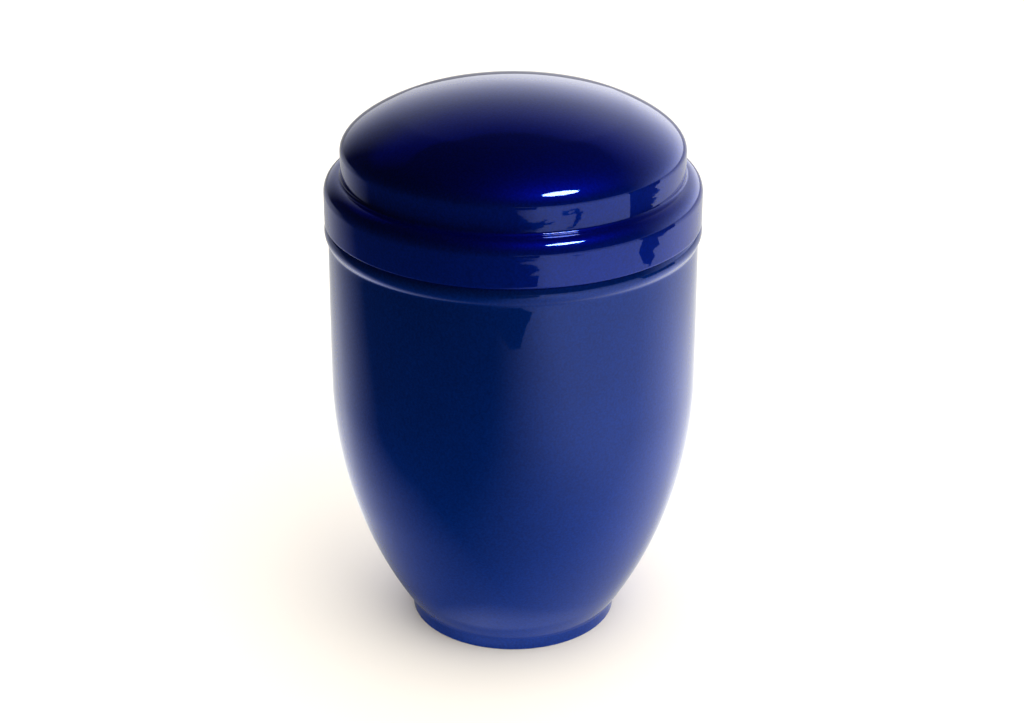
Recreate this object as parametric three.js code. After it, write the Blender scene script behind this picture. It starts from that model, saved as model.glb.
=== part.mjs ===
import * as THREE from 'three';

// A cremation urn of lacquered sheet metal: a body on a short foot, and a stepped lid that slips over its neck.
// Millimetres, +Z up, with the origin in the middle of the foot's underside.

// Sheet and fits
const SHEET = 1.2;
const LID_CLEARANCE = 0.8;
const LID_SEAT = 0.3;
const NECK_GAP = 5;

// Foot, a band with a flat ring that stands on the ground round a raised bottom
const FOOT_R = 54.1;
const FOOT_H = 6.4;
const FOOT_RING = 8;
const FOOT_EDGE = 0.8;
const BASE_RECESS = 2.5;

// Wall, which leans out from the foot to the belly and draws in a little towards the bead
const BELLY_IN = 1.2;
const BELLY_Z = 135.5;
const FOOT_LEAN = THREE.MathUtils.degToRad(55.7);

// Bead, rolled out of the wall to stop the lid
const BEAD_Z = 218.3;
const BEAD_PROUD = 0.2;
const BEAD_ROUND = 7;
const BEAD_HOLLOW = 3;
const WAIST_IN = 1.6;

// Lid, a collar, a shoulder, an upright band and a dome
const COLLAR_R = 95;
const COLLAR_H = 23.2;
const SHOULDER_ROUND = 8.3;
const BAND_IN = 8.65;
const BAND_H = 12.9;
const BAND_HOLLOW = 1.5;
const DOME_H = 30.1;
const DOME_ROUND = 184;
const DOME_EDGE_IN = 28.8;

// How full the curves are, as shares of the stretch that each one spans
const WALL_FULLNESS_LOW = 0.267;
const WALL_FULLNESS_HIGH = 0.433;
const WAIST_FULLNESS_LOW = 0.38;
const WAIST_FULLNESS_HIGH = 0.31;
const WAIST_LEAN = 0.1;
const DOME_EDGE_FULLNESS_LOW = 0.43;
const DOME_EDGE_FULLNESS_HIGH = 0.26;

// Facets
const ROUND_SIDES = 52;
const WALL_STEPS = 10;
const WAIST_STEPS = 4;
const DOME_EDGE_STEPS = 5;
const DOME_STEPS = 4;
const BEAD_STEPS = 3;
const SHOULDER_STEPS = 4;
const HOLLOW_STEPS = 2;
const EDGE_STEPS = 2;

const LACQUER = { color: 0x0c1f8a, roughness: 0.08, metalness: 0.6 };

// What follows draws profiles, whose points have x as the distance from the axis and y as the height

function point(x, y) {
  return new THREE.Vector2(x, y);
}

function arc(centre, radius, from, to, steps) {
  const points = [];
  for (let i = 0; i <= steps; i++) {
    const angle = from + ((to - from) * i) / steps;
    points.push(point(centre.x + radius * Math.cos(angle), centre.y + radius * Math.sin(angle)));
  }
  return points;
}

function sweep(start, startHandle, endHandle, end, steps) {
  return new THREE.CubicBezierCurve(start, startHandle, endHandle, end).getPoints(steps);
}

// The middle of a small round, at this distance from the axis, that touches a larger one above (side 1) or
// below it (side -1). Where the larger round's crown is further out, the small one lies level with it.
function touching(centre, radius, x, smallRadius, side) {
  const reach = radius + smallRadius;
  const across = Math.max(x - centre.x, 0);
  return point(x, centre.y + side * Math.sqrt(reach ** 2 - across ** 2));
}

// The direction from one round's middle to another's, straight up or down where that one lies further in
function facing(from, to) {
  return Math.atan2(to.y - from.y, Math.max(to.x - from.x, 0));
}

// The other face of a sheet whose outer face is this outline, drawn upwards
function insideOf(outline) {
  const end = outline.length - 1;
  const inwards = (from, to) => point(from.y - to.y, to.x - from.x).normalize();
  return outline.map((corner, i) => {
    const below = inwards(outline[Math.max(i - 1, 0)], outline[Math.max(i, 1)]);
    const above = inwards(outline[Math.min(i, end - 1)], outline[Math.min(i + 1, end)]);
    const across = corner.x === 0 ? point(0, Math.sign(above.y)) : below.clone().add(above).normalize();
    return corner.clone().addScaledVector(across, SHEET / across.dot(above));
  });
}

function withoutRepeats(points) {
  return points.filter((corner, i) => i === 0 || corner.distanceTo(points[i - 1]) > 1e-4);
}

const neckR = COLLAR_R - SHEET - LID_CLEARANCE;
const bellyR = COLLAR_R - BELLY_IN;
const waistR = COLLAR_R - WAIST_IN;
const bandR = COLLAR_R - BAND_IN;
const bead = point(COLLAR_R + BEAD_PROUD - BEAD_ROUND, BEAD_Z);

// The lid's lower edge is a full round of the sheet, resting on the bead
const lidEdge = touching(bead, BEAD_ROUND + LID_SEAT, COLLAR_R - SHEET / 2, SHEET / 2, 1);
const shoulder = point(COLLAR_R - SHOULDER_ROUND, lidEdge.y + COLLAR_H - SHOULDER_ROUND);
const neckRim = point(neckR - SHEET / 2, shoulder.y - NECK_GAP);

function bodyOutline(footEdge) {
  const ringInside = FOOT_R - FOOT_RING;
  const underside = [point(0, BASE_RECESS), point(ringInside - BASE_RECESS, BASE_RECESS), point(ringInside, 0)];
  const edge = arc(point(FOOT_R - footEdge, footEdge), footEdge, -Math.PI / 2, 0, EDGE_STEPS);

  const hollow = touching(bead, BEAD_ROUND, waistR + BEAD_HOLLOW, BEAD_HOLLOW, -1);
  const crease = point(FOOT_R, FOOT_H);
  const belly = point(bellyR, BELLY_Z);
  const wallH = BELLY_Z - FOOT_H;
  const waistH = hollow.y - BELLY_Z;
  const lean = WALL_FULLNESS_LOW * wallH;
  const wall = sweep(
    crease,
    point(FOOT_R + lean * Math.cos(FOOT_LEAN), FOOT_H + lean * Math.sin(FOOT_LEAN)),
    point(bellyR, BELLY_Z - WALL_FULLNESS_HIGH * wallH),
    belly, WALL_STEPS);
  const waist = sweep(
    belly,
    point(bellyR, BELLY_Z + WAIST_FULLNESS_LOW * waistH),
    point(waistR + WAIST_LEAN, hollow.y - WAIST_FULLNESS_HIGH * waistH),
    point(waistR, hollow.y), WAIST_STEPS);

  const underBead = facing(bead, hollow);
  const intoBead = arc(hollow, BEAD_HOLLOW, Math.PI, underBead + Math.PI, HOLLOW_STEPS);
  const intoNeck = Math.acos((neckR - bead.x) / BEAD_ROUND);
  const lower = arc(bead, BEAD_ROUND, underBead, 0, BEAD_STEPS);
  const upper = arc(bead, BEAD_ROUND, 0, intoNeck, BEAD_STEPS);
  const neck = point(neckR, neckRim.y);
  return withoutRepeats([
    ...underside, ...edge, ...wall, ...waist, ...intoBead, ...lower, ...upper, neck,
  ]);
}

function lidOutline() {
  const ledge = shoulder.y + SHOULDER_ROUND;
  const bandTop = ledge + BAND_H;
  const top = bandTop + DOME_H;

  const hollow = touching(shoulder, SHOULDER_ROUND, bandR + BAND_HOLLOW, BAND_HOLLOW, 1);
  const intoHollow = facing(shoulder, hollow);
  const round = arc(shoulder, SHOULDER_ROUND, 0, intoHollow, SHOULDER_STEPS);
  const step = arc(hollow, BAND_HOLLOW, intoHollow + Math.PI, Math.PI, HOLLOW_STEPS);

  // The dome is a ball's cap, eased down to the band round its edge
  const ball = point(0, top - DOME_ROUND);
  const capEdge = Math.acos((bandR - DOME_EDGE_IN) / DOME_ROUND);
  const cap = arc(ball, DOME_ROUND, capEdge, Math.PI / 2, DOME_STEPS).slice(0, -1);
  const [join] = cap;
  const ease = DOME_EDGE_FULLNESS_HIGH * DOME_EDGE_IN;
  const edge = sweep(
    point(bandR, bandTop),
    point(bandR, bandTop + DOME_EDGE_FULLNESS_LOW * (join.y - bandTop)),
    point(join.x + ease * Math.sin(capEdge), join.y - ease * Math.cos(capEdge)),
    join, DOME_EDGE_STEPS);
  return withoutRepeats([point(COLLAR_R, lidEdge.y), ...round, ...step, ...edge, ...cap, point(0, top)]);
}

function turned(name, profile) {
  const geometry = new THREE.LatheGeometry(withoutRepeats(profile), ROUND_SIDES);
  geometry.rotateX(Math.PI / 2);
  const mesh = new THREE.Mesh(geometry, new THREE.MeshStandardMaterial(LACQUER));
  mesh.name = name;
  return mesh;
}

function body() {
  const rim = arc(neckRim, SHEET / 2, 0, Math.PI, EDGE_STEPS);
  return turned('urn_body', [...bodyOutline(FOOT_EDGE), ...rim, ...insideOf(bodyOutline(0)).reverse()]);
}

function lid() {
  const rim = arc(lidEdge, SHEET / 2, Math.PI, 2 * Math.PI, EDGE_STEPS);
  return turned('urn_lid', [...insideOf(lidOutline()).reverse(), ...rim, ...lidOutline()]);
}

const urn = new THREE.Group();
urn.add(body(), lid());

export default urn;
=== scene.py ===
from math import acos, atan2, cos, pi, radians, sin

import bpy
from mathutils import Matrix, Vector
from mathutils.geometry import interpolate_bezier


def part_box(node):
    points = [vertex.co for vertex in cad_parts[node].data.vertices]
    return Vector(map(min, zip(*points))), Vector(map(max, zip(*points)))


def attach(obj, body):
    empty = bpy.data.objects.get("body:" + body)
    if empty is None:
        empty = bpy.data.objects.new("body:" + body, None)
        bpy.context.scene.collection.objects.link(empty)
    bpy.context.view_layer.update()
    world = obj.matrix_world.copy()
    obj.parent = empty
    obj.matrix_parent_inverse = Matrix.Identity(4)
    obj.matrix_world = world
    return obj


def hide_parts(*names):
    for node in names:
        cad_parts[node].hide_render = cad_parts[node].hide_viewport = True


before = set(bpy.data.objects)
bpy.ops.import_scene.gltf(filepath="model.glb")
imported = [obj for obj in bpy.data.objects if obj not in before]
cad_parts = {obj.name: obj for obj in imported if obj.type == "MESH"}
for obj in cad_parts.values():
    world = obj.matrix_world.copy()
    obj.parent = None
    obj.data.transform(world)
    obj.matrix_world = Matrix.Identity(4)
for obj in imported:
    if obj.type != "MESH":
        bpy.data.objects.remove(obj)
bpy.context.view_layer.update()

# The body
# One shell of steel sheet: a raised bottom inside a short foot, a wall that swells to the belly and a bead
# rolled out under the neck. It is spun to shape and lacquered outside; the inside has only grey primer.
MM = 0.001
SHEET = 1.2 * MM
BODY_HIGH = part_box("urn_body")[1]
LID_LOW, LID_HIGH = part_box("urn_lid")
COLLAR_R = LID_HIGH[0]
FOOT_R = 54.1 * MM
FOOT_H = 6.4 * MM
FOOT_RING = 8 * MM
FOOT_EDGE = 0.8 * MM
FOOT_CREASE = 1.2 * MM
BASE_RECESS = 2.5 * MM
FOOT_LEAN = radians(55.7)
BELLY = Vector((93.8 * MM, 135.5 * MM))
WAIST_R = COLLAR_R - 1.6 * MM
WAIST_LEAN = 0.1 * MM
NECK_R = COLLAR_R - SHEET - 0.8 * MM
NECK_ABOVE_BEAD = 8 * MM
BEAD_ROUND = 7 * MM
BEAD_HOLLOW = 3 * MM
BEAD = Vector((BODY_HIGH[0] - BEAD_ROUND, 218.3 * MM))
WALL_FULLNESS = 0.267, 0.433
WAIST_FULLNESS = 0.38, 0.31
TINY_STEP = 0.2 * MM
HOLLOW_STEP = 0.3 * MM
ROUND_STEP = 0.4 * MM
WIDE_STEP = 2.6 * MM
CREASE_GAP = 0.5 * MM
SIDES = 256
SAME_PLACE = 1e-6
EDGE_WIDTH = 0.45 * SHEET
EDGE_SEGMENTS = 4
CUT_ANGLE = radians(60)
SMOOTH_ANGLE = radians(32)

# The lacquer and the primer
# The body's blues and the lid's blues further down are the same lacquer. The difference between the two
# copies is painted light, set so that each piece matches how light falls on it.
BODY_BLUE = (0.001, 0.05, 0.49)
BODY_MIRROR_BLUE = (0.001, 0.085, 0.6)
FLAKE_METAL = 0.55
FLAKE_ROUGH = 0.52
BLUE_METAL = 0.38
BLUE_ROUGH = 0.05
COAT_ROUGH = 0.015
COAT_IOR = 1.5
FLAKES_PER_METRE = 900
CLOUDS_PER_METRE = 28
WAVES_PER_METRE = 30
WAVE_DEEP = 0.1 * MM
PEEL_PER_METRE = 260
PEEL_DEEP = 0.006 * MM
PRIMER_GREY = (0.23, 0.24, 0.25)
PRIMER_CLOUDS_PER_METRE = 45
GRIT_PER_METRE = 1400
GRIT_DEEP = 0.02 * MM


def arc(centre, radius, start, end, step):
    """Points of a round in the half section, as (distance from the axis, height)."""
    count = max(3, round(abs(end - start) * radius / step))
    angles = [start + (end - start) * i / count for i in range(count + 1)]
    return [centre + radius * Vector((cos(a), sin(a))) for a in angles]


def sweep(start, start_handle, end_handle, end, step=WIDE_STEP):
    """Points of an eased curve in the half section."""
    count = max(4, round((end - start).length / step))
    corners = [Vector((p.x, p.y, 0)) for p in (start, start_handle, end_handle, end)]
    return [p.xy for p in interpolate_bezier(*corners, count + 1)]


def touching(centre, radius, x, small_radius, side):
    """The middle of a small round, x from the axis, that touches a larger one above or below it."""
    reach = radius + small_radius
    return Vector((x, centre.y + side * (reach**2 - max(x - centre.x, 0) ** 2) ** 0.5))


def facing(start, end):
    """The direction from one round's middle to another's."""
    return atan2(end.y - start.y, max(end.x - start.x, 0))


def spin_sheet(name, outline):
    """Turns a half section round the axis, into an open skin that faces outwards."""
    bpy.ops.object.select_all(action="DESELECT")
    bpy.ops.mesh.primitive_plane_add(size=SHEET, location=(0, 0, 0))
    skin = bpy.context.object
    skin.name = skin.data.name = name
    bpy.ops.object.mode_set(mode="EDIT")
    bpy.ops.mesh.select_all(action="SELECT")
    bpy.ops.mesh.merge(type="CENTER")
    bpy.ops.transform.translate(value=(outline[0].x, 0, outline[0].y))
    for before, after in zip(outline, outline[1:]):
        step = after - before
        if step.length > SAME_PLACE:
            bpy.ops.mesh.extrude_region_move(TRANSFORM_OT_translate={"value": (step.x, 0, step.y)})
    bpy.ops.mesh.select_all(action="SELECT")
    bpy.ops.mesh.spin(steps=SIDES, angle=2 * pi, center=(0, 0, 0), axis=(0, 0, 1))
    bpy.ops.mesh.select_all(action="SELECT")
    bpy.ops.mesh.remove_doubles(threshold=SAME_PLACE)
    bpy.ops.mesh.normals_make_consistent(inside=False)
    bpy.ops.object.mode_set(mode="OBJECT")
    outermost = max(skin.data.polygons, key=lambda face: face.center.x)
    if outermost.normal.x < 0:
        bpy.ops.object.mode_set(mode="EDIT")
        bpy.ops.mesh.flip_normals()
        bpy.ops.object.mode_set(mode="OBJECT")
    return skin


def thicken(skin, outside, inside):
    """Gives the skin the sheet's thickness inwards and rounds its cut edge."""
    skin.data.materials.append(outside)
    skin.data.materials.append(inside)
    wall = skin.modifiers.new("wall", "SOLIDIFY")
    wall.thickness = SHEET
    wall.offset = -1
    wall.use_even_offset = True
    wall.use_quality_normals = True
    wall.material_offset = 1
    bpy.ops.object.modifier_apply(modifier="wall")
    edge = skin.modifiers.new("edge", "BEVEL")
    edge.width = EDGE_WIDTH
    edge.segments = EDGE_SEGMENTS
    edge.limit_method = "ANGLE"
    edge.angle_limit = CUT_ANGLE
    bpy.ops.object.modifier_apply(modifier="edge")
    bpy.ops.object.shade_smooth_by_angle(angle=SMOOTH_ANGLE)


def foot_section():
    """From the middle of the bottom out to the crease over the foot band."""
    ring = FOOT_R - FOOT_RING
    edge = arc(Vector((FOOT_R - FOOT_EDGE, FOOT_EDGE)), FOOT_EDGE, -pi / 2, 0, TINY_STEP)
    bottom = [Vector((0, BASE_RECESS)), Vector((ring - BASE_RECESS, BASE_RECESS)), Vector((ring, 0))]
    band = [Vector((FOOT_R, 2 * FOOT_EDGE)), Vector((FOOT_R, FOOT_H - 1.5 * FOOT_CREASE))]
    return bottom + edge + band


def wall_section():
    """From the foot band's top up over the belly and the bead to the neck's rim."""
    hollow = touching(BEAD, BEAD_ROUND, WAIST_R + BEAD_HOLLOW, BEAD_HOLLOW, -1)
    rise = BELLY.y - FOOT_H
    lean = Vector((cos(FOOT_LEAN), sin(FOOT_LEAN)))
    crease = Vector((FOOT_R, FOOT_H))
    low = sweep(
        crease,
        crease + WALL_FULLNESS[0] * rise * lean,
        BELLY - Vector((0, WALL_FULLNESS[1] * rise)),
        BELLY,
    )
    # The crease is eased with a small hollow round between the band and the wall
    fillet_x = FOOT_R + FOOT_CREASE
    turn = pi / 2 - FOOT_LEAN
    fillet = Vector((fillet_x, FOOT_H - FOOT_CREASE * (1 - cos(turn)) / sin(turn)))
    eased = arc(fillet, FOOT_CREASE, pi, pi - turn, TINY_STEP)
    above = [p for p in low if p.y > eased[-1].y + CREASE_GAP]
    height = hollow.y - BELLY.y
    high = sweep(
        BELLY,
        BELLY + Vector((0, WAIST_FULLNESS[0] * height)),
        Vector((WAIST_R + WAIST_LEAN, hollow.y - WAIST_FULLNESS[1] * height)),
        Vector((WAIST_R, hollow.y)),
    )
    under = facing(BEAD, hollow)
    into_bead = arc(hollow, BEAD_HOLLOW, pi, under + pi, HOLLOW_STEP)
    into_neck = acos((NECK_R - BEAD.x) / BEAD_ROUND)
    bead = arc(BEAD, BEAD_ROUND, under, into_neck, ROUND_STEP)
    neck = [Vector((NECK_R, BEAD.y + NECK_ABOVE_BEAD)), Vector((NECK_R, BODY_HIGH[2]))]
    return eased + above + high[1:] + into_bead[1:] + bead[1:] + neck


def node(tree, kind, *sources, **settings):
    """Adds a node, sets its options and feeds its sockets with links or plain values."""
    made = tree.nodes.new(kind)
    for name, value in settings.items():
        setattr(made, name, value)
    for socket, source in zip(made.inputs, sources):
        if isinstance(source, bpy.types.NodeSocket):
            tree.links.new(source, socket)
        elif source is not None:
            socket.default_value = source
    return made.outputs[0]


def sum_of(tree, a, b):
    return node(tree, "ShaderNodeMath", a, b, operation="ADD")


def product(tree, a, b):
    return node(tree, "ShaderNodeMath", a, b, operation="MULTIPLY")


def ramp(tree, value, start, end, low, high, kind="LINEAR"):
    """Runs from low to high as the value runs from start to end, and stays level beyond."""
    return node(tree, "ShaderNodeMapRange", value, start, end, low, high, interpolation_type=kind)


def object_place(tree):
    return node(tree, "ShaderNodeTexCoord").node.outputs["Object"]


def noise(tree, place, per_metre, detail):
    return node(tree, "ShaderNodeTexNoise", place, None, per_metre, detail)


def uneven(tree, pattern, low, high):
    """Spreads the middle of a noise's values from low to high."""
    return ramp(tree, pattern, 0.3, 0.7, low, high)


def tinted(tree, colour, shade):
    """A colour made lighter or darker by a pattern round 1."""
    tint = node(tree, "ShaderNodeVectorMath", colour, operation="SCALE")
    tree.links.new(shade, tint.node.inputs["Scale"])
    return tint


def relief(tree, height):
    """The normal of a surface that has this height over its mesh, in metres."""
    bump = node(tree, "ShaderNodeBump", 1, 1)
    tree.links.new(height, bump.node.inputs["Height"])
    return bump


def new_material(name):
    """A material, its node tree and its shader."""
    material = bpy.data.materials.new(name)
    material.use_nodes = True
    return material, material.node_tree, material.node_tree.nodes["Principled BSDF"]


def lacquer(name, blue, mirror_blue):
    """Deep blue over fine metal flake, under a thick clear coat with a faint orange peel."""
    material, tree, flaky = new_material(name)
    place = object_place(tree)
    flake = noise(tree, place, FLAKES_PER_METRE, 1)
    cloud = noise(tree, place, CLOUDS_PER_METRE, 2)
    shade = product(tree, uneven(tree, flake, 0.84, 1.16), uneven(tree, cloud, 0.95, 1.05))
    waves = product(tree, noise(tree, place, WAVES_PER_METRE, 1), WAVE_DEEP)
    peel = product(tree, noise(tree, place, PEEL_PER_METRE, 1), PEEL_DEEP)
    bump = relief(tree, sum_of(tree, waves, peel))

    # Half of what is under the coat is scattered flake, and half is the smooth blue
    smooth = tree.nodes.new("ShaderNodeBsdfPrincipled")
    for shader, colour, metal, roughness in (
        (flaky, blue, FLAKE_METAL, FLAKE_ROUGH),
        (smooth, mirror_blue, BLUE_METAL, BLUE_ROUGH),
    ):
        shader.inputs["Metallic"].default_value = metal
        shader.inputs["Roughness"].default_value = roughness
        shader.inputs["Specular IOR Level"].default_value = 0
        shader.inputs["Coat Weight"].default_value = 1
        shader.inputs["Coat Roughness"].default_value = COAT_ROUGH
        shader.inputs["Coat IOR"].default_value = COAT_IOR
        tree.links.new(tinted(tree, colour, shade), shader.inputs["Base Color"])
        tree.links.new(bump, shader.inputs["Coat Normal"])
        tree.links.new(bump, shader.inputs["Normal"])
    both = node(tree, "ShaderNodeMixShader", 0.5, flaky.outputs[0], smooth.outputs[0])
    tree.links.new(both, tree.nodes["Material Output"].inputs["Surface"])
    return material


def primer():
    """Dull grey primer inside the shell, a little uneven and gritty."""
    material, tree, shader = new_material("grey_primer")
    place = object_place(tree)
    cloud = noise(tree, place, PRIMER_CLOUDS_PER_METRE, 3)
    grit = noise(tree, place, GRIT_PER_METRE, 2)
    shade = product(tree, uneven(tree, cloud, 0.88, 1.1), uneven(tree, grit, 0.93, 1.07))
    tree.links.new(tinted(tree, PRIMER_GREY, shade), shader.inputs["Base Color"])
    tree.links.new(uneven(tree, cloud, 0.52, 0.68), shader.inputs["Roughness"])
    tree.links.new(relief(tree, product(tree, grit, GRIT_DEEP)), shader.inputs["Normal"])
    return material


body_blue = lacquer("body_lacquer", BODY_BLUE, BODY_MIRROR_BLUE)
grey = primer()

body = spin_sheet("body_shell", foot_section() + wall_section())
thicken(body, body_blue, grey)
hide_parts("urn_body")
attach(body, "root")

# The lid
# One stepped pressing of the same sheet: a dome on an upright band, a small hollow round, a rounded shoulder
# and a straight collar that slips over the neck and rests on the bead.
SHOULDER_ROUND = 8.3 * MM
LEDGE_Z = 246.4 * MM
BAND_R = COLLAR_R - 8.65 * MM
BAND_TOP = LEDGE_Z + 12.9 * MM
BAND_HOLLOW = 1.5 * MM
BAND_END = 0.4 * MM
DOME_ROUND = 184 * MM
DOME_EDGE_IN = 28.8 * MM
DOME_EDGE_FULLNESS = 0.43, 0.26
DOME_EDGE_STEP = 0.9 * MM
# The same lacquer as the body's, in a brighter copy with less green in the flake. This is painted light,
# standing in for the lamp's light on the lid.
LID_BLUE = (0.001, 0.004, 0.6)
LID_MIRROR_BLUE = (0.001, 0.1, 0.66)


def lid_section():
    """From the collar's lower edge up to the top of the dome."""
    shoulder = Vector((COLLAR_R - SHOULDER_ROUND, LEDGE_Z - SHOULDER_ROUND))
    hollow = touching(shoulder, SHOULDER_ROUND, BAND_R + BAND_HOLLOW, BAND_HOLLOW, 1)
    into_hollow = facing(shoulder, hollow)
    collar = [Vector((COLLAR_R, LID_LOW[2] + above)) for above in (0, SHEET, 2 * SHEET)]
    round_edge = arc(shoulder, SHOULDER_ROUND, 0, into_hollow, ROUND_STEP)
    step = arc(hollow, BAND_HOLLOW, into_hollow + pi, pi, TINY_STEP)
    band = [Vector((BAND_R, step[-1].y + BAND_END)), Vector((BAND_R, BAND_TOP - BAND_END))]

    top = LID_HIGH[2]
    ball = Vector((0, top - DOME_ROUND))
    cap_edge = acos((BAND_R - DOME_EDGE_IN) / DOME_ROUND)
    cap = arc(ball, DOME_ROUND, cap_edge, pi / 2, WIDE_STEP)
    cap[-1] = Vector((0, top))
    join = cap[0]
    ease = DOME_EDGE_FULLNESS[1] * DOME_EDGE_IN
    eased = sweep(
        Vector((BAND_R, BAND_TOP)),
        Vector((BAND_R, BAND_TOP + DOME_EDGE_FULLNESS[0] * (join.y - BAND_TOP))),
        Vector((join.x + ease * sin(cap_edge), join.y - ease * cos(cap_edge))),
        join,
        DOME_EDGE_STEP,
    )
    return collar + round_edge + step[1:] + band + eased + cap[1:]


# The lid gets its own copy of the lacquer, shaded differently from the body's as painted light.
lid_blue = lacquer("lid_lacquer", LID_BLUE, LID_MIRROR_BLUE)
lid = spin_sheet("lid_shell", lid_section())
thicken(lid, lid_blue, grey)
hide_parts("urn_lid")
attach(lid, "root")

# The floor
# A wide, plain, pale sheet under the urn.
FLOOR_WIDE = 14
FLOOR_COLOUR = (0.8, 0.745, 0.655, 1)
FLOOR_ROUGH = 0.8

bpy.ops.object.select_all(action="DESELECT")
bpy.ops.mesh.primitive_plane_add(size=FLOOR_WIDE, location=(0, 0, 0))
floor = bpy.context.object
floor.name = "floor"
pale, _, paper = new_material("pale_floor")
paper.inputs["Base Color"].default_value = FLOOR_COLOUR
paper.inputs["Roughness"].default_value = FLOOR_ROUGH
floor.data.materials.append(pale)
floor.visible_glossy = False
floor.visible_diffuse = False

# The studio, which only the lacquer mirrors
# A white table that is lit on the right and behind, with its dark corner in front on the left, and three dark
# boards over it. All of it lies just under the floor, where it takes no light from the floor.
TABLE_FAR = 8
TABLE_DEEP = 1 * MM
BOARD_DEEP = 0.5 * MM
DARK = 0.01
POOL_WIDE = 0.64
POOL_POWER = 0.6
POOL_PLACE = (-0.13, -0.08, 0.4 * MM)

floor_lit = bpy.data.collections.new("floor_lit")
floor_lit.objects.link(floor)
urn_lit = bpy.data.collections.new("urn_lit")
urn_lit.objects.link(body)
urn_lit.objects.link(lid)


def glow(name):
    """A material that only shines, with its node tree and its strength socket."""
    material, tree, shader = new_material(name)
    tree.nodes.remove(shader)
    shine = tree.nodes.new("ShaderNodeEmission")
    tree.links.new(shine.outputs[0], tree.nodes["Material Output"].inputs["Surface"])
    return material, tree, shine.inputs["Strength"]


def larger_of(tree, a, b):
    return node(tree, "ShaderNodeMath", a, b, operation="MAXIMUM")


def board(name, corners, depth, material):
    """A flat board under the floor; its corners are turns to the right of the camera and distances."""
    mesh = bpy.data.meshes.new(name)
    turned = [(far * sin(radians(turn)), -far * cos(radians(turn)), -depth) for turn, far in corners]
    mesh.from_pydata(turned, [], [range(len(corners))])
    mesh.materials.append(material)
    thing = bpy.data.objects.new(name, mesh)
    bpy.context.scene.collection.objects.link(thing)
    thing.visible_camera = False
    thing.visible_shadow = False
    thing.visible_transmission = False
    thing.light_linking.receiver_collection = urn_lit


def hang(light, place, turn):
    """Puts a light in the scene, unseen by the camera."""
    holder = bpy.data.objects.new(light.name, light)
    bpy.context.scene.collection.objects.link(holder)
    holder.location = place
    holder.rotation_euler = turn
    holder.visible_camera = False
    return holder


table_light, tree, strength = glow("table_light")
place = object_place(tree)
apart = node(tree, "ShaderNodeSeparateXYZ", place).node
across, back = apart.outputs["X"], apart.outputs["Y"]
far = node(tree, "ShaderNodeVectorMath", place, operation="LENGTH").node.outputs["Value"]
# It is lit to the right, and behind a line that slants back on the left and is more blurred further out
right_side = ramp(tree, across, -0.12, 0.26, 0, 1, "SMOOTHSTEP")
slant = node(tree, "ShaderNodeMath", sum_of(tree, across, 0.17), 0, operation="MINIMUM")
behind = sum_of(tree, sum_of(tree, back, 0.075), product(tree, slant, 0.59))
blur = ramp(tree, far, 0.3, 1, 0.1, 0.45)
behind = node(tree, "ShaderNodeMath", behind, blur, operation="DIVIDE")
behind = ramp(tree, behind, ramp(tree, far, 0.36, 0.65, -0.65, -0.2), 1.57, 0, 1)
lit = larger_of(tree, right_side, behind)
# It is dimmer on the left, and brighter close behind the urn
lit = product(tree, lit, ramp(tree, across, -0.3, 0.3, 0.58, 0.88))
lit = product(tree, lit, ramp(tree, back, -0.12, 0.15, 0.78, ramp(tree, far, 0.12, 0.6, 2, 0.95)))
# The urn's own shadow lies to the left of the foot, and a faint ring of light round it
by_foot = ramp(tree, across, -0.05, 0.02, 0.25, 1)
lit = product(tree, lit, ramp(tree, far, 0.07, 0.13, by_foot, 1))
ring = product(tree, ramp(tree, far, 0.0555, 0.0605, 0, 1), ramp(tree, far, 0.066, 0.085, 0.4, 0))
ring = product(tree, ring, ramp(tree, across, -0.055, -0.02, 0.1, 1))
lit = larger_of(tree, lit, ring)
# It fades far away
lit = product(tree, lit, ramp(tree, far, 0.7, 2.2, 1, 0.55))
tree.links.new(sum_of(tree, lit, DARK), strength)
TABLE = [(turn, TABLE_FAR) for turn in (-135, -45, 45, 135)]
board("table", TABLE, TABLE_DEEP, table_light)

dark, tree, strength = glow("dark_board")
strength.default_value = DARK
FRONT_BOARD = [
    (-66, 1.5), (-50, 0.8), (-18, 0.6), (-8, 0.555), (-2, 0.527), (4, 0.53), (6, 0.552), (10, 0.585),
    (13, 0.61), (14, 0.648), (9, 0.652), (15, 0.672), (10, 0.69), (2, 0.702), (14, 0.712), (3, 0.718),
    (21, 0.725), (27, 0.731), (18, 0.737), (22, 0.742), (3, 0.744), (2, 0.75), (14, 0.78), (15, 3.2),
    (-66, 3.2),
]
SIDE_BOARD = [
    (75, 0.66), (79, 0.622), (83, 0.617), (82, 0.605), (88, 0.63), (86, 0.65), (92, 0.655), (90, 0.68),
    (103, 0.69), (97, 0.708), (104, 0.713), (98, 0.722), (107, 0.728), (101, 0.74), (106, 0.752),
    (106, 3), (75, 3), (78, 0.75), (78, 0.7),
]
HOOK = [
    (30, 0.748), (40, 0.75), (44, 0.742), (42, 0.727), (37, 0.712), (33, 0.709), (33, 0.714), (37, 0.72),
    (39, 0.731), (39.5, 0.738), (36, 0.741), (30, 0.743),
]
board("front_board", FRONT_BOARD, BOARD_DEEP, dark)
board("side_board", SIDE_BOARD, BOARD_DEEP, dark)
board("hook", HOOK, BOARD_DEEP, dark)

# The bright floor close by lights the body from below, as a lamp that faces up
light = bpy.data.lights.new("pool", "AREA")
light.shape = "DISK"
light.size = POOL_WIDE
light.energy = POOL_POWER
pool = hang(light, POOL_PLACE, (pi, 0, 0))
pool.visible_glossy = False
pool.light_linking.receiver_collection = urn_lit

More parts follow.
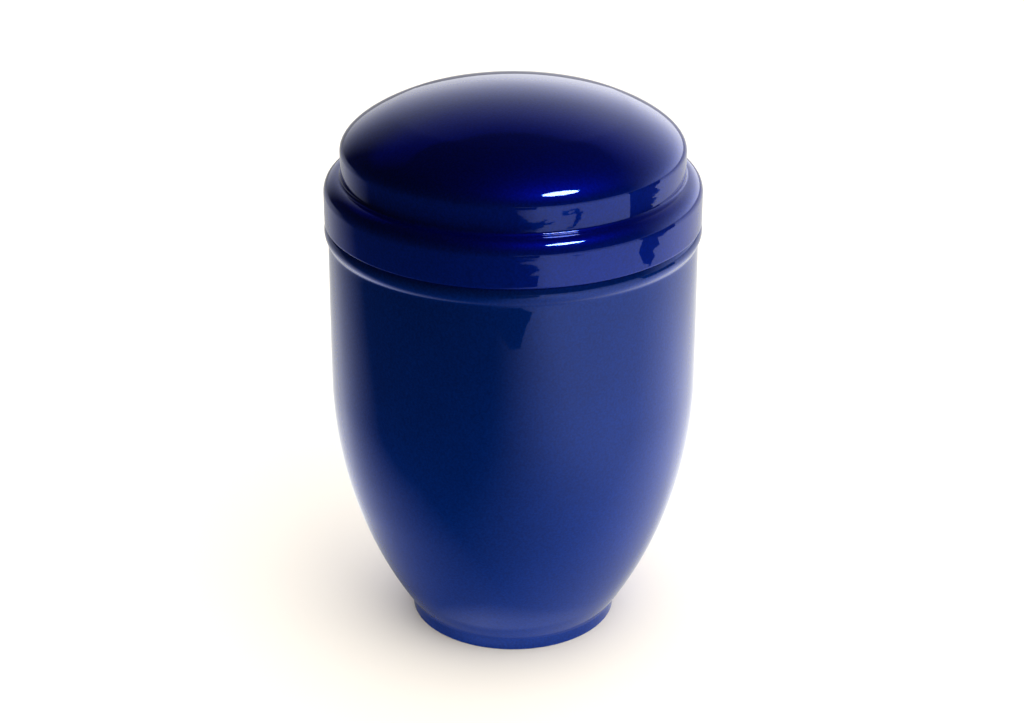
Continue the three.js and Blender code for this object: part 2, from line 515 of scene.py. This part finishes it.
# The light
# A soft oval lamp high on the right in front, and a pale room. In the lacquer the room is dark but for its
# white back wall, with a faint blue over it. Two wide lights fall on the floor alone.
LAMP_WIDE = 0.44
LAMP_TALL = 0.25
LAMP_POWER = 6
LAMP_FAR = 1.3
LAMP_TURN = radians(41)
LAMP_RISE = radians(54)
LAMP_AIM = Vector((0, 0, 0.25))
SKY_POWER = 5.4
SKY_ANGLE = radians(130)
SKY_FROM = Vector((0.55, -0.1, 2.2))
BOX_WIDE = 1.2
BOX_POWER = 9
BOX_FROM = Vector((0.75, -0.9, 1.2))
ROOM_WHITE = 0.92
WALL_TURN = radians(152)
WALL_BRIGHT = 1.8
WALL_ON_DIFFUSE = 0.35
DUSK = 0.13
DUSK_BLUE = (0.0, 0.02, 1, 1)

light = bpy.data.lights.new("lamp", "AREA")
light.shape = "ELLIPSE"
light.size = LAMP_WIDE
light.size_y = LAMP_TALL
light.energy = LAMP_POWER
away = Vector((sin(LAMP_TURN) * cos(LAMP_RISE), -cos(LAMP_TURN) * cos(LAMP_RISE), sin(LAMP_RISE)))
lamp = hang(light, LAMP_AIM + LAMP_FAR * away, away.to_track_quat("Z", "Y").to_euler())
lamp.visible_diffuse = False

sky_light = bpy.data.lights.new("wide_light", "SUN")
sky_light.energy = SKY_POWER
sky_light.angle = SKY_ANGLE
box_light = bpy.data.lights.new("front_box", "AREA")
box_light.shape = "SQUARE"
box_light.size = BOX_WIDE
box_light.energy = BOX_POWER
for light, start in ((sky_light, SKY_FROM), (box_light, BOX_FROM)):
    box = hang(light, start, start.to_track_quat("Z", "Y").to_euler())
    box.visible_glossy = False
    box.light_linking.receiver_collection = floor_lit

world = bpy.data.worlds.new("room")
bpy.context.scene.world = world
world.use_nodes = True
tree = world.node_tree
way = node(tree, "ShaderNodeTexCoord").node.outputs["Generated"]
apart = node(tree, "ShaderNodeSeparateXYZ", way).node
back, up = apart.outputs["Y"], apart.outputs["Z"]
ray = node(tree, "ShaderNodeLightPath").node
wall_way = (sin(WALL_TURN), -cos(WALL_TURN), 0)
to_wall = node(tree, "ShaderNodeVectorMath", way, wall_way, operation="DOT_PRODUCT").node.outputs["Value"]
wall = node(tree, "ShaderNodeMath", ramp(tree, to_wall, 0.28, 1, 0, 1), 1.6, operation="POWER")
wall = product(tree, wall, ramp(tree, up, 0.1, 0.78, WALL_BRIGHT, 0))
mirrored = sum_of(tree, wall, DARK)
mirrored = product(tree, mirrored, ramp(tree, ray.outputs["Is Diffuse Ray"], 0, 1, 1, WALL_ON_DIFFUSE))
level = node(tree, "ShaderNodeMix", ray.outputs["Is Camera Ray"], None, mirrored, ROOM_WHITE)
room = tree.nodes["Background"]
room.inputs["Color"].default_value = (1, 1, 1, 1)
tree.links.new(level, room.inputs["Strength"])
# Over the wall the faint blue reaches up to a straight edge
over_wall = product(tree, ramp(tree, up, 0.45, 0.6, 0, DUSK), ramp(tree, up, 0.745, 0.762, 1, 0))
over_wall = product(tree, over_wall, ramp(tree, back, 0.35, 0.6, 0, 1))
over_wall = product(tree, over_wall, ramp(tree, ray.outputs["Is Camera Ray"], 0, 1, 1, 0))
dusk = node(tree, "ShaderNodeBackground", DUSK_BLUE, over_wall)
both = node(tree, "ShaderNodeAddShader", room.outputs[0], dusk)
tree.links.new(both, tree.nodes["World Output"].inputs["Surface"])
bpy.context.scene.view_settings.view_transform = "Standard"

# The camera
# It looks down on the urn by 25 degrees, a little left of its axis, from 1.2 metres.
CAMERA_FAR = 1.2
CAMERA_TILT = radians(24.96)
CAMERA_AIM = Vector((-0.0006, 0, 0.1414))
CAMERA_LENS = 81.28

camera = bpy.data.cameras.new("camera")
camera.lens = CAMERA_LENS
camera.sensor_width = 36
camera_holder = bpy.data.objects.new("camera", camera)
bpy.context.scene.collection.objects.link(camera_holder)
camera_holder.location = CAMERA_AIM + CAMERA_FAR * Vector((0, -cos(CAMERA_TILT), sin(CAMERA_TILT)))
camera_holder.rotation_euler = (pi / 2 - CAMERA_TILT, 0, 0)
bpy.context.scene.camera = camera_holder
